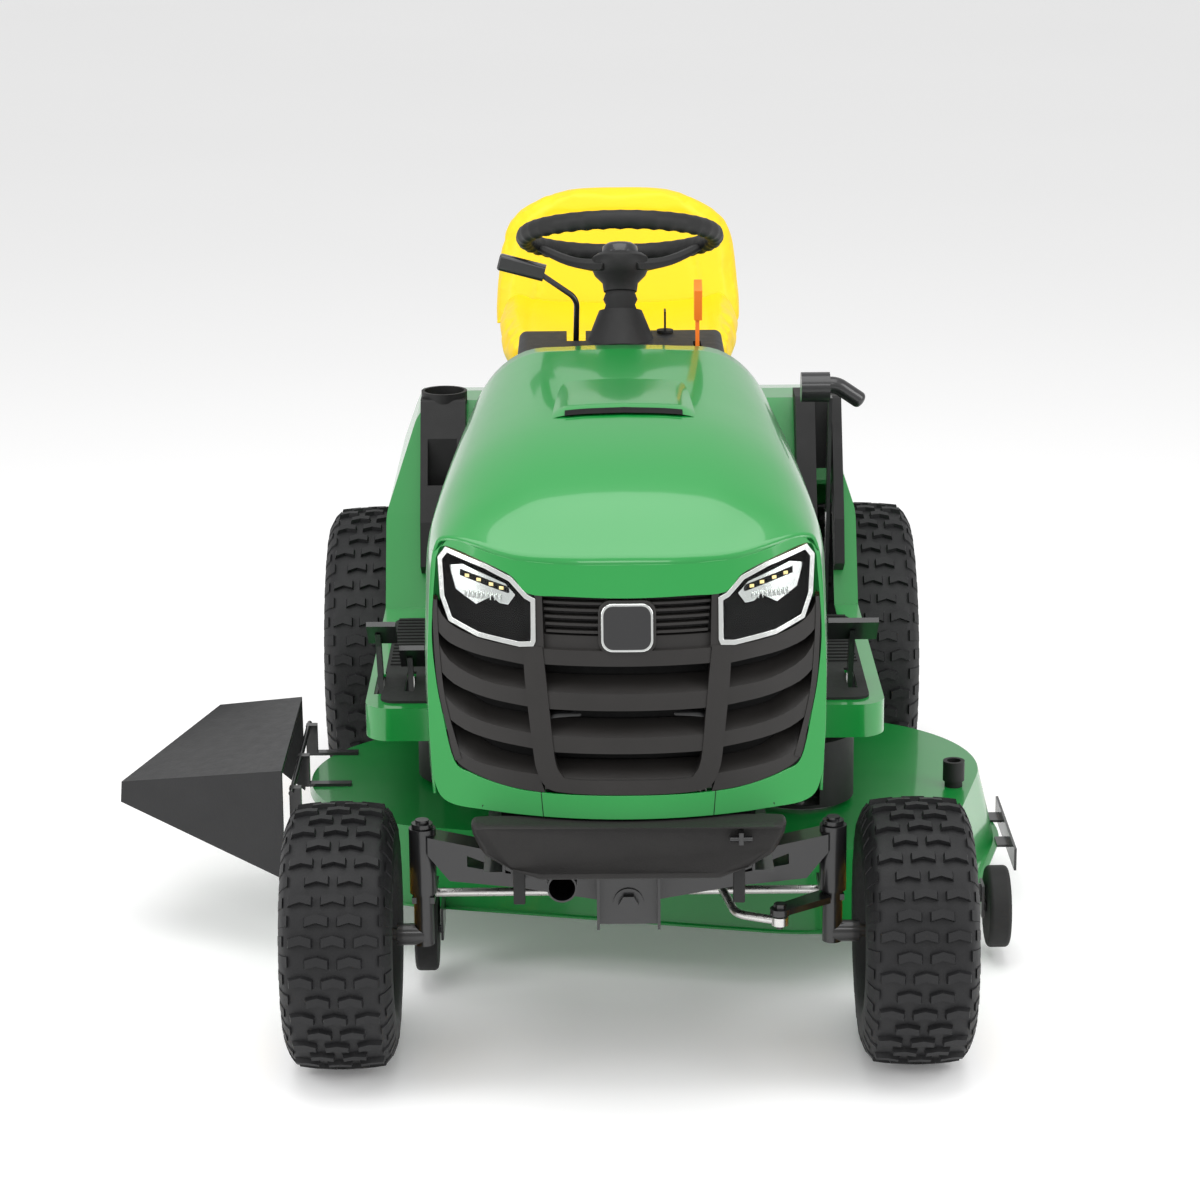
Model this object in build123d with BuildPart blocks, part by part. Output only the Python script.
from build123d import *
from math import atan2, cos, degrees, pi, radians, sin, sqrt, tan
import os

os.makedirs("parts", exist_ok=True)

# A lawn tractor with a side-discharge mower deck, drawn in millimetres.
# X is across (the discharge side is -X), -Y is forwards and Z is up.
# It is drawn about its midplane and rear axle, on the ground, and each piece
# is written out shifted to the middle of the ground area that it covers.

# ---------------------------------------------------------------- wheels
WHEELBASE = 1240.0
FRONT_TYRE_D = 378.0
FRONT_TYRE_W = 158.0
FRONT_RIM_D = 152.4
FRONT_HALF_TRACK = 404.0
REAR_TYRE_D = 500.0
REAR_TYRE_W = 203.0
REAR_RIM_D = 203.2
REAR_HALF_TRACK = 404.5
TYRE_WALL = 9.0
RIM_SHEET = 4.0
RIM_SHARE = 0.31
STUB_D = 19.0
AXLE_SHAFT_D = 25.4

# ---------------------------------------------------------------- fits
RUNNING = 0.05
GAP = 0.4

# ---------------------------------------------------------------- frame
RAIL_X = 172.0
RAIL_SHEET = 3.5
RAIL_LOW = 330.0
AXLE_ROOM = 65.0
AXLE_LIFT = 20.0
RAIL_HIGH = 430.0
RAIL_FLANGE = 26.0
RAIL_FRONT_Y = -1385.0
RAIL_REAR_Y = 170.0
CRANK_Y = -1010.0
SADDLE_TOP = 700.0

# ---------------------------------------------------------------- hood
HOOD_BOTTOM = 432.0
HOOD_REAR_Y = -640.0
HOOD_FRONT_Y = -1470.0
HOOD_SHEET = 4.0
FACE_Y = -1432.0
FACE_BOW = 430.0
FACE_LEAN = 80.0 / 327.0
HOOD_PIVOT_Y = -1452.0
HOOD_PIVOT_Z = 402.0
HOOD_ARM_X = 150.0

# ---------------------------------------------------------------- steering
STEER_TILT = 19.5
STEER_CENTRE = (0.0, -450.0, 1050.0)
WHEEL_RIM_D = 326.0
WHEEL_GRIP_D = 28.0
STEER_SHAFT_D = 19.0
PINION_Z = 378.0
GEAR_MODULE = 3.5
PINION_TEETH = 12
STEER_RATIO = 5
GEAR_THICK = 8.0
BACKLASH = 0.8
STEER_ARM = (77.4, 63.3)
KINGPIN_X = 288.0
KINGPIN_D = 19.0
AXLE_PIVOT_Z = 259.0
BOSS_LOW = 252.0
BOSS_HIGH = 348.0
TIE_ARM = 80.0
TIE_ROD_Z = 222.0
ROD_END_Z = 229.0
OPEN_PIVOT_PLAY = 7.0
BALL_PLAY = 0.45

# ---------------------------------------------------------------- mower deck
BLADE_R = 264.0
BLADE_X = (273.0, -243.0)
BLADE_Y = (-700.0, -580.0)
PTO_GRIP = 74.0
PTO_ROD_D = 9.0
DECK_TOP = 205.0
DECK_LOW = 88.0
DECK_SHEET = 3.0
BLADE_ROOM = 10.0
DECK_LIP = 14.0
GAUGE_D = 125.0
GAUGE_W = 34.0
GAUGE_Z = 82.0
GAUGE_LEFT = (566.0, -862.0)
GAUGE_RIGHT = (-300.0, -938.0)
CHUTE_REACH = 785.0
GUARD_X = 618.0
MOWER_BELT_Z = 241.0
MOWER_BELT_THICK = 6.0
LIFT_ARM = 86.0
LIFT_Y = -330.0
LIFT_Z = 352.0
HANGER_X = 118.0

# ---------------------------------------------------------------- body and seat
FOOT_Z = 419.0
FENDER_X = 389.0
FENDER_SHEET = 4.0
FENDER_TOP = 730.0
FENDER_REAR_Y = 285.0
FENDER_LEAN_IN = 58.0
SADDLE_X = RAIL_X + 14.0
FOOT_FRONT_Y = -905.0
TUNNEL_X = 178.0
BUMPER_X = 215.0
BUMPER_FRONT_Y = -1480.0
SEAT_HALF_W = 226.0
PEDAL_Y = -600.0
PEDAL_Z = 390.0
SEAT_TOP = 1046.0
SEAT_PIVOT_Y = -195.0
SEAT_PIVOT_Z = 752.0

MIDDLE_X = (GUARD_X - CHUTE_REACH) / 2
MIDDLE_Y = (FENDER_REAR_Y + BUMPER_FRONT_Y) / 2
FRONT_HUB = (FRONT_HALF_TRACK, -WHEELBASE, FRONT_TYRE_D / 2)
REAR_HUB = (REAR_HALF_TRACK, 0.0, REAR_TYRE_D / 2)


def write(node, *pieces):
    """Moves the finished piece, or a group of pieces, to the shared frame and writes it."""
    solids = [solid for piece in pieces for solid in piece.part.solids()]
    placed = Pos(-MIDDLE_X, -MIDDLE_Y, 0) * Compound(solids)
    placed.label = node
    export_step(placed, f"parts/{node}.step")


def across(x, y=0.0, z=0.0):
    """A plane that looks along +X, with Y to its right and Z up."""
    return Plane(origin=(x, y, z), x_dir=(0, 1, 0), z_dir=(1, 0, 0))


def forwards(y, x=0.0, z=0.0):
    """A plane that looks along -Y, with X to its right and Z up."""
    return Plane(origin=(x, y, z), x_dir=(1, 0, 0), z_dir=(0, -1, 0))


def rod(start, end, diameter, mode=Mode.ADD):
    """A straight round bar from one point to another."""
    way = Vector(*end) - Vector(*start)
    with BuildSketch(Plane(origin=start, z_dir=way)) as section:
        Circle(diameter / 2)
    extrude(section.sketch, amount=way.length, mode=mode)


def block(x, y, z, mode=Mode.ADD):
    """A box given by its low and high limit along each axis."""
    middle = [(low + high) / 2 for low, high in (x, y, z)]
    size = [high - low for low, high in (x, y, z)]
    with Locations(tuple(middle)):
        Box(*size, mode=mode)


def bent_tube(points, radius, diameter, bore=0.0):
    """A bar or tube along straight runs joined by arcs."""
    with BuildLine() as route:
        FilletPolyline(*points, radius=radius)
    start = Plane(origin=route.line @ 0, z_dir=route.line % 0)
    with BuildSketch(start) as ring:
        Circle(diameter / 2)
        if bore:
            Circle(bore / 2, mode=Mode.SUBTRACT)
    sweep(sections=ring.sketch, path=route.line)


# ---------------------------------------------------------------- frame
def make_frame():
    with BuildPart() as frame:
        for side in (-1, 1):
            web = sorted((side * (RAIL_X - RAIL_SHEET), side * RAIL_X))
            flange = sorted((side * (RAIL_X - RAIL_SHEET), side * (RAIL_X + RAIL_FLANGE)))
            block(web, (RAIL_FRONT_Y, RAIL_REAR_Y), (RAIL_LOW, RAIL_HIGH))
            for low in (RAIL_LOW, RAIL_HIGH - RAIL_SHEET):
                block(flange, (RAIL_FRONT_Y, RAIL_REAR_Y), (low, low + RAIL_SHEET))
        inner = (-RAIL_X + RAIL_SHEET, RAIL_X - RAIL_SHEET)
        block(inner, (RAIL_FRONT_Y, RAIL_FRONT_Y + RAIL_SHEET), (RAIL_LOW + 12, RAIL_HIGH))
        block(inner, (RAIL_REAR_Y - RAIL_SHEET, RAIL_REAR_Y), (RAIL_LOW - 70, RAIL_HIGH))
        block(inner, (CRANK_Y - 180, CRANK_Y + 150), (RAIL_HIGH - RAIL_SHEET, RAIL_HIGH))
        block(inner, (-300, -60), (RAIL_HIGH - RAIL_SHEET, RAIL_HIGH))
        # the saddle that carries the seat and the fenders
        with BuildSketch(forwards(150)):
            with Locations((0, (RAIL_HIGH + SADDLE_TOP) / 2)):
                Rectangle(2 * RAIL_X, SADDLE_TOP - RAIL_HIGH)
                Rectangle(2 * RAIL_X - 8, SADDLE_TOP - RAIL_HIGH - 8, mode=Mode.SUBTRACT)
        extrude(amount=110)
        # the opening for the engine's crankshaft and the exhaust
        with Locations((0, CRANK_Y, RAIL_HIGH)):
            Cylinder(40, 20, mode=Mode.SUBTRACT)
        with Locations((-91, -1395, 316)):
            Cylinder(26, 60, rotation=(90, 0, 0), mode=Mode.SUBTRACT)
        # the holes that carry the lift shaft
        with Locations((0, LIFT_Y, LIFT_Z)):
            Cylinder(11 + RUNNING, 2 * RAIL_X + 10, rotation=(0, 90, 0), mode=Mode.SUBTRACT)
        # the slots that let the front tyre's tie rod and the pedal shaft's ends pass
        with Locations((0, PEDAL_Y, PEDAL_Z)):
            Cylinder(8 + RUNNING, 2 * RAIL_X + 80, rotation=(0, 90, 0), mode=Mode.SUBTRACT)
        # room over the axle for its tilt
        outside = RAIL_X + RAIL_FLANGE + 2
        over_axle = (-WHEELBASE - AXLE_ROOM, -WHEELBASE + AXLE_ROOM)
        block((-outside, outside), over_axle, (RAIL_LOW - 2, RAIL_LOW + AXLE_LIFT), mode=Mode.SUBTRACT)
    return frame


def make_hitch_plate():
    with BuildPart() as hitch_plate:
        block((-70, 70), (RAIL_REAR_Y, RAIL_REAR_Y + 6), (262, 345))
        block((-70, 70), (RAIL_REAR_Y, RAIL_REAR_Y + 62), (262, 268))
        vertical = hitch_plate.edges().filter_by(Axis.Z).sort_by(Axis.Y)[-2:]
        fillet(vertical, 24)
        with Locations((0, RAIL_REAR_Y + 38, 265)):
            Hole(8.0)
    return hitch_plate


def make_front_bumper():
    with BuildPart() as front_bumper:
        with BuildSketch(forwards(-1415)):
            with BuildLine():
                Polyline((-BUMPER_X, 418), (BUMPER_X, 418), (BUMPER_X - 4, 372), (170, 352))
                Line((170, 352), (-170, 352))
                Polyline((-170, 352), (-BUMPER_X + 4, 372), (-BUMPER_X, 418))
            make_face()
        extrude(amount=-1415 - BUMPER_FRONT_Y)
        top_front = front_bumper.edges().filter_by(Axis.X).sort_by(Axis.Z)[-2:].sort_by(Axis.Y)[0]
        chamfer(top_front, 12, 28)
        ends = front_bumper.edges().filter_by(Axis.Z, tolerance=6).group_by(Axis.Y)[0]
        fillet(ends, 14)
        # hollow behind, so that the hood's hinge arms swing inside it
        block((-BUMPER_X + 16, BUMPER_X - 16), (BUMPER_FRONT_Y + 7, -1400), (376, 412), mode=Mode.SUBTRACT)
        for side in (-1, 1):
            slot = (side * HOOD_ARM_X - 8, side * HOOD_ARM_X + 8)
            block(slot, (HOOD_PIVOT_Y - 14, -1400), (380, 425), mode=Mode.SUBTRACT)
        # two brackets tie the shell to the frame
        for side in (-1, 1):
            bracket = (side * 105 - 12, side * 105 + 12)
            block(bracket, (-1475, RAIL_FRONT_Y), (380, 384))
        for side in (-1, 1):
            block((side * 148 - 7, side * 148 + 7), (-1423, -1417), (312, 356))
    return front_bumper


# ---------------------------------------------------------------- wheels and tyres
def tyre_outline(half, seat, bead, crown, mode=Mode.ADD):
    """Half width, half width at the rim, bead radius and crown radius of a tyre's section."""
    shoulder = crown - 16
    wall = (half, (bead + shoulder) / 2 + 8)
    with BuildLine() as outline:
        Polyline((-seat, bead + 13), (-seat, bead), (seat, bead), (seat, bead + 13))
        Spline((seat, bead + 13), wall, (half * 0.92, shoulder), tangents=((0.5, 1), (-0.35, 1)))
        ThreePointArc((half * 0.92, shoulder), (half * 0.78, crown - 5), (half * 0.5, crown - 1))
        ThreePointArc((half * 0.5, crown - 1), (0, crown), (-half * 0.5, crown - 1))
        ThreePointArc((-half * 0.5, crown - 1), (-half * 0.78, crown - 5), (-half * 0.92, shoulder))
        Spline(
            (-half * 0.92, shoulder), (-wall[0], wall[1]), (-seat, bead + 13),
            tangents=((-0.35, -1), (0.5, -1))
        )
    make_face(outline.edges(), mode=mode)


def make_tyre(diameter, width, rim_d, x_middle, y, z):
    """A low-pressure turf tyre: a closed ring with an air space."""
    seat = width * RIM_SHARE - 0.5
    bead = rim_d / 2 + 1.3
    with BuildPart() as tyre:
        with BuildSketch(forwards(y, x_middle, z)):
            tyre_outline(width / 2, seat, bead, diameter / 2)
            tyre_outline(
                width / 2 - TYRE_WALL, seat - TYRE_WALL, bead + TYRE_WALL, diameter / 2 - 14, Mode.SUBTRACT
            )
        revolve(axis=Axis((x_middle, y, z), (1, 0, 0)))
    return tyre


def make_rim(rim_d, width, hub_bore, hub_length, x_middle, y, z, outward):
    """A pressed steel rim with a dished disc and a welded hub."""
    half = width * RIM_SHARE
    barrel = rim_d / 2
    lip = barrel + 11
    dish = outward * half * 0.25
    with BuildPart() as rim:
        with BuildSketch(forwards(y, x_middle, z)):
            with BuildLine():
                Polyline(
                    (-half - 7, lip),
                    (-half - 3, lip),
                    (-half, barrel + 1),
                    (half, barrel + 1),
                    (half + 3, lip),
                    (half + 7, lip),
                    (half + 4, barrel - RIM_SHEET),
                    (-half - 4, barrel - RIM_SHEET),
                    close=True,
                )
            make_face()
        revolve(axis=Axis((x_middle, y, z), (1, 0, 0)))
        with BuildSketch(forwards(y, x_middle, z)):
            with BuildLine():
                Polyline(
                    (dish - 2, barrel - 1),
                    (dish + 2, barrel - 1),
                    (dish + 2 + outward * 14, barrel * 0.72),
                    (dish + 2 + outward * 14, 18),
                    (dish - 2 + outward * 14, 18),
                    (dish - 2 + outward * 14, barrel * 0.72),
                    close=True,
                )
            make_face()
        revolve(axis=Axis((x_middle, y, z), (1, 0, 0)))
        with Locations(Location((x_middle + outward * hub_length * 0.02, y, z), (0, 90, 0))):
            Cylinder(hub_bore / 2 + 9, hub_length)
            Cylinder(hub_bore / 2, hub_length * 2, mode=Mode.SUBTRACT)
    return rim


# ---------------------------------------------------------------- steering and front axle
column = Plane(
    origin=(0, STEER_CENTRE[1] - (STEER_CENTRE[2] - PINION_Z) * tan(radians(STEER_TILT)), PINION_Z),
    x_dir=(1, 0, 0),
    z_dir=(0, sin(radians(STEER_TILT)), cos(radians(STEER_TILT))),
)
PINION_R = GEAR_MODULE * PINION_TEETH / 2
SECTOR_R = PINION_R * STEER_RATIO
SECTOR_X = PINION_R + SECTOR_R
COLUMN_LENGTH = (STEER_CENTRE[2] - PINION_Z) / cos(radians(STEER_TILT))


def gear_outline(teeth, module, thin):
    """Stub involute teeth as one closed wire, the first tooth on local +X."""
    pitch = module * teeth / 2
    base = pitch * cos(radians(25))
    tip = pitch + 0.8 * module
    root = pitch - 1.0 * module
    half_tooth = pi / (2 * teeth) - thin / (2 * pitch)
    pitch_roll = sqrt((pitch / base) ** 2 - 1)
    pitch_turn = pitch_roll - atan2(pitch_roll, 1)
    start = max(base, root + 0.3)
    flank = []
    for step in range(4):
        radius = start + (tip - start) * step / 3
        roll = sqrt((radius / base) ** 2 - 1)
        flank.append((radius, half_tooth + pitch_turn - (roll - atan2(roll, 1))))
    points = []
    for tooth in range(teeth):
        middle = 2 * pi * tooth / teeth
        side = [(root, -flank[0][1])] + [(r, -a) for r, a in flank]
        side += [(r, a) for r, a in reversed(flank)] + [(root, flank[0][1])]
        points += [(r * cos(middle + a), r * sin(middle + a)) for r, a in side]
    return points


def toothed_face(teeth):
    """The flat face of a gear, centred on its own axis."""
    with BuildSketch() as face:
        with BuildLine():
            Polyline(*gear_outline(teeth, GEAR_MODULE, BACKLASH), close=True)
        make_face()
    return face.sketch


def make_sector_gear():
    """The toothed sector that the pinion drives, with the arm that pulls the drag link."""
    teeth = PINION_TEETH * STEER_RATIO
    reach = SECTOR_R + 10
    with BuildPart() as sector_gear:
        with BuildSketch(column):
            with Locations(Location((SECTOR_X, 0), 180 + 180 / teeth)):
                add(toothed_face(teeth))
        extrude(amount=GEAR_THICK)
        with BuildSketch(column):
            with BuildLine():
                Polyline(
                    (SECTOR_X + 14, 16),
                    (SECTOR_X + 14, -16),
                    (SECTOR_X - reach, -reach * 0.86),
                    (SECTOR_X - reach, reach * 0.86),
                    close=True,
                )
            make_face()
        extrude(amount=GEAR_THICK, mode=Mode.INTERSECT)
        with BuildSketch(column):
            with Locations((SECTOR_X, 0)):
                Circle(21)
        extrude(amount=GEAR_THICK)
        arm_end = (SECTOR_X - STEER_ARM[0], -STEER_ARM[1])
        with BuildSketch(column):
            with Locations((SECTOR_X, 0), arm_end):
                Circle(15)
            make_hull()
        extrude(amount=-6)
        with BuildSketch(column):
            with Locations(arm_end):
                Circle(5)
        extrude(amount=-38)
        with BuildSketch(column.offset(20)):
            with Locations((SECTOR_X, 0)):
                Circle(6 + RUNNING)
        extrude(amount=-40, mode=Mode.SUBTRACT)
    return sector_gear


def make_steering_shaft():
    """The inclined shaft with the pinion on its foot."""
    with BuildPart() as steering_shaft:
        with BuildSketch(column.offset(0.5)):
            add(toothed_face(PINION_TEETH))
        extrude(amount=GEAR_THICK + 4)
        with BuildSketch(column.offset(0.5)):
            Circle(STEER_SHAFT_D / 2)
        extrude(amount=COLUMN_LENGTH - 22)
    return steering_shaft


def make_steering_support():
    """The plate over the sector, its pivot stud and the lower shaft bearing."""
    lift = GEAR_THICK + 7
    width = 2 * (RAIL_X - RAIL_SHEET)
    with BuildPart() as steering_support:
        with BuildSketch(column.offset(lift)):
            with Locations((0, 0)):
                Rectangle(width, 120)
        extrude(amount=5)
        with BuildSketch(column.offset(lift)):
            with Locations((SECTOR_X, 0)):
                Circle(6)
        extrude(amount=-lift - 10)
        with BuildSketch(column.offset(-6.5)):
            with Locations((SECTOR_X, 0)):
                Circle(11)
        extrude(amount=-5)
        with BuildSketch(column.offset(lift)):
            Circle(19)
        extrude(amount=26)
        with BuildSketch(column):
            Circle(STEER_SHAFT_D / 2 + RUNNING)
        extrude(amount=90, mode=Mode.SUBTRACT)
    return steering_support


def make_steering_wheel():
    grip = WHEEL_GRIP_D / 2
    ring = WHEEL_RIM_D / 2 - grip
    rim = column.offset(COLUMN_LENGTH)
    with BuildPart() as steering_wheel:
        side = Plane(origin=rim.origin, x_dir=(1, 0, 0), z_dir=rim.y_dir)
        with BuildSketch(side):
            with Locations((ring, 0)):
                Circle(grip)
        revolve(axis=Axis(rim.origin, rim.z_dir))
        # hub under the rim
        with BuildSketch(rim.offset(-72)):
            Circle(26)
        with BuildSketch(rim.offset(-30)):
            Circle(46)
        loft()
        with BuildSketch(rim.offset(-30)):
            Circle(46)
        extrude(amount=14)
        # two spokes that rise from the hub to the rim
        for side in (-1, 1):
            with BuildSketch(Plane(origin=rim.from_local_coords((side * 30, 0, -28)), z_dir=rim.x_dir * side,
                                   x_dir=rim.y_dir)):
                SlotOverall(64, 16)
            with BuildSketch(Plane(origin=rim.from_local_coords((side * ring, 18, 0)), z_dir=rim.x_dir * side,
                                   x_dir=rim.y_dir)):
                SlotOverall(54, 12)
            loft()
        with BuildSketch(rim.offset(-90)):
            Circle(STEER_SHAFT_D / 2)
        extrude(amount=90 - 20, mode=Mode.SUBTRACT)
    return steering_wheel


def make_steering_cap():
    top = column.offset(COLUMN_LENGTH - 16)
    with BuildPart() as steering_cap:
        with BuildSketch(top):
            Circle(38)
        extrude(amount=10, taper=20)
        rounded = steering_cap.edges().sort_by(SortBy.DISTANCE, reverse=False)[-1:]
        fillet(rounded, 2)
    return steering_cap


def make_front_axle():
    """The cast axle beam with its pivot boss and the two kingpin bosses."""
    with BuildPart() as front_axle:
        with BuildSketch(forwards(-WHEELBASE + 22)):
            for side in (-1, 1):
                with BuildLine():
                    Polyline(
                        (0, AXLE_PIVOT_Z + 26),
                        (side * 120, AXLE_PIVOT_Z + 46),
                        (side * (KINGPIN_X - 8), BOSS_HIGH - 8),
                        (side * (KINGPIN_X - 8), BOSS_HIGH - 34),
                        (side * 250, BOSS_LOW + 24),
                        (side * 150, AXLE_PIVOT_Z + 6),
                        (0, AXLE_PIVOT_Z - 20),
                        close=True,
                    )
                make_face()
                with BuildLine():
                    Polyline(
                        (side * 150, AXLE_PIVOT_Z + 24),
                        (side * 225, AXLE_PIVOT_Z + 54),
                        (side * 225, AXLE_PIVOT_Z + 38),
                        close=True,
                    )
                make_face(mode=Mode.SUBTRACT)
        extrude(amount=44)
        with Locations(Location((0, -WHEELBASE, AXLE_PIVOT_Z), (90, 0, 0))):
            Cylinder(25, 100)
            Cylinder(10 + RUNNING, 120, mode=Mode.SUBTRACT)
        for side in (-1, 1):
            with Locations((side * KINGPIN_X, -WHEELBASE, (BOSS_LOW + BOSS_HIGH) / 2)):
                Cylinder(19, BOSS_HIGH - BOSS_LOW)
                Cylinder(KINGPIN_D / 2 + RUNNING, BOSS_HIGH - BOSS_LOW + 20, mode=Mode.SUBTRACT)
    return front_axle


def make_axle_pivot_bracket():
    front = -WHEELBASE - 62
    back = -WHEELBASE + 62
    with BuildPart() as axle_pivot_bracket:
        for y in (front - 5, back):
            block((-44, 44), (y, y + 5), (227, RAIL_LOW))
        for x in (-44, 40):
            block((x, x + 4), (front - 28, front - 4), (227, RAIL_LOW))
        block((-44, 44), (front - 28, back + 5), (RAIL_LOW, RAIL_LOW + 5))
        for y in (front - 5, back):
            block((-RAIL_X + RAIL_SHEET, RAIL_X - RAIL_SHEET), (y, y + 5), (RAIL_LOW, RAIL_LOW + 40))
        with Locations(Location((0, -WHEELBASE, AXLE_PIVOT_Z), (90, 0, 0))):
            Cylinder(10, 200, mode=Mode.SUBTRACT)
        with Locations(Location((-91, -1300, 316), (90, 0, 0))):
            Cylinder(26, 60, mode=Mode.SUBTRACT)
    return axle_pivot_bracket


def make_axle_pivot_bolt():
    front = -WHEELBASE - 67
    with BuildPart() as axle_pivot_bolt:
        with Locations(Location((0, -WHEELBASE, AXLE_PIVOT_Z), (90, 0, 0))):
            Cylinder(10, 140)
        with BuildSketch(forwards(front, 0, AXLE_PIVOT_Z)):
            Circle(21)
        extrude(amount=3)
        with BuildSketch(forwards(front - 3, 0, AXLE_PIVOT_Z)):
            RegularPolygon(14, 6)
        extrude(amount=9)
        with BuildSketch(forwards(-WHEELBASE + 70 + 9, 0, AXLE_PIVOT_Z)):
            RegularPolygon(14, 6)
        extrude(amount=12)
    return axle_pivot_bolt


def make_spindle(side):
    """A kingpin, its stub axle and the arms that the steering rods pull."""
    hub_z = FRONT_HUB[2]
    pin = (side * KINGPIN_X, -WHEELBASE)
    with BuildPart() as spindle:
        rod((*pin, hub_z - 12), (*pin, BOSS_HIGH + 12), KINGPIN_D)
        with Locations((*pin, BOSS_HIGH + 1 + 3)):
            Cylinder(15, 6)
        with Locations((*pin, (hub_z - 14 + BOSS_LOW - GAP) / 2)):
            Cylinder(14, BOSS_LOW - GAP - hub_z + 14)
        rod((*pin, hub_z), (side * (FRONT_HALF_TRACK + 52), -WHEELBASE, hub_z), STUB_D)
        rod((*pin, hub_z), (side * (KINGPIN_X + 38), -WHEELBASE, hub_z), STUB_D + 12)
        with BuildSketch(Plane.XY.offset(238)):
            with BuildLine():
                Polyline(
                    (pin[0] - side * 16, pin[1] - 10),
                    (pin[0] - side * 18, pin[1] + TIE_ARM),
                    (pin[0] + side * 12, pin[1] + TIE_ARM),
                    (pin[0] + side * 16, pin[1] - 10),
                    close=True,
                )
            make_face()
            with Locations((pin[0], pin[1] + TIE_ARM)):
                Circle(14)
            if side > 0:
                end = (pin[0] - STEER_ARM[0], pin[1] - STEER_ARM[1])
                with BuildLine():
                    Polyline((pin[0] - 4, pin[1] - 22), (end[0], end[1] - 14), (end[0] - 8, end[1] + 12),
                             (pin[0] - 14, pin[1] + 12), close=True)
                make_face()
                with Locations(end):
                    Circle(14)
        extrude(amount=9)
        rod((pin[0], pin[1] + TIE_ARM, 243), (pin[0], pin[1] + TIE_ARM, TIE_ROD_Z - 12), 9)
        if side > 0:
            rod((*end, 243), (*end, ROD_END_Z - 12), 9)
        # ball stud nuts seen on top of each arm
        with BuildSketch(Plane.XY.offset(246)):
            with Locations((pin[0], pin[1] + TIE_ARM)):
                RegularPolygon(9, 6)
            if side > 0:
                with Locations(end):
                    RegularPolygon(9, 6)
        extrude(amount=8)
    return spindle


def make_tie_rod():
    y = -WHEELBASE + TIE_ARM
    with BuildPart() as tie_rod:
        rod((-KINGPIN_X + 11, y, TIE_ROD_Z), (KINGPIN_X - 12, y, TIE_ROD_Z), 12)
        for side, play in ((-1, OPEN_PIVOT_PLAY / 4), (1, RUNNING)):
            with Locations((side * KINGPIN_X, y, TIE_ROD_Z)):
                Cylinder(13, 13)
                Cylinder(4.5 + play, 20, mode=Mode.SUBTRACT)
    return tie_rod


def make_drag_link():
    """The bent rod from the sector's arm to the left spindle's arm."""
    front = (KINGPIN_X - STEER_ARM[0], -WHEELBASE - STEER_ARM[1], ROD_END_Z)
    eye = column.from_local_coords((SECTOR_X - STEER_ARM[0], -STEER_ARM[1], -18))
    with BuildPart() as drag_link:
        bent_tube(
            [
                (front[0] - 9, front[1] + 2, ROD_END_Z),
                (150, -1290, 234),
                (118, -1150, 254),
                (112, -960, 322),
                (eye.X + 13, eye.Y - 12, eye.Z - 1),
            ],
            24,
            12,
        )
        with Locations(front):
            Cylinder(12, 12)
            Cylinder(4.5 + BALL_PLAY, 20, mode=Mode.SUBTRACT)
        with BuildSketch(Plane(origin=eye - Vector(*column.z_dir) * 3, x_dir=(1, 0, 0), z_dir=column.z_dir)):
            Circle(5 + OPEN_PIVOT_PLAY + 6)
            Circle(5 + OPEN_PIVOT_PLAY, mode=Mode.SUBTRACT)
        extrude(amount=6)
        with BuildSketch(Plane(origin=eye - Vector(*column.z_dir) * 20, x_dir=(1, 0, 0), z_dir=column.z_dir)):
            Circle(5 + OPEN_PIVOT_PLAY)
        extrude(amount=40, mode=Mode.SUBTRACT)
    return drag_link


# ---------------------------------------------------------------- engine and drive
def make_engine_block():
    with BuildPart() as engine_block:
        block((-118, 118), (CRANK_Y - 100, CRANK_Y + 110), (RAIL_HIGH, 590))
        fillet(engine_block.edges().filter_by(Axis.Z), 28)
        block((-62, 62), (CRANK_Y - 240, CRANK_Y - 95), (470, 590))
        for fin in range(9):
            low = 474 + fin * 13
            block((-78, 78), (CRANK_Y - 236, CRANK_Y - 106), (low, low + 4))
        block((-48, 48), (CRANK_Y - 252, CRANK_Y - 240), (484, 576))
        with Locations((0, CRANK_Y, 510)):
            Cylinder(12.5 + RUNNING, 200, mode=Mode.SUBTRACT)
    return engine_block


def make_blower_housing():
    with BuildPart() as blower_housing:
        with BuildSketch(Plane.XY.offset(590.5)):
            with Locations((0, CRANK_Y)):
                Circle(150)
            with Locations((0, CRANK_Y - 110)):
                RectangleRounded(190, 150, 24)
        extrude(amount=98)
        fillet(blower_housing.edges().sort_by(Axis.Z)[-1:], 14)
        with Locations((0, CRANK_Y, 590 + 46)):
            Cylinder(132, 86, mode=Mode.SUBTRACT)
        with Locations((0, CRANK_Y, 690)):
            Cylinder(86, 60, mode=Mode.SUBTRACT)
        with Locations((0, CRANK_Y, 580)):
            Cylinder(20, 60, mode=Mode.SUBTRACT)
    return blower_housing


def make_crankshaft():
    """The vertical crankshaft with its flywheel fan and stub."""
    with BuildPart() as crankshaft:
        with Locations((0, CRANK_Y, (246 + 640) / 2)):
            Cylinder(12.5, 640 - 246)
        with Locations((0, CRANK_Y, 612)):
            Cylinder(112, 16)
        for blade in range(18):
            turn = radians(blade * 20)
            spot = Location((88 * cos(turn), CRANK_Y + 88 * sin(turn), 634), (0, 0, blade * 20 + 35))
            with Locations(spot):
                Box(36, 3, 30)
        with Locations((0, CRANK_Y, 630)):
            Cylinder(40, 24)
    return crankshaft


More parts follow.
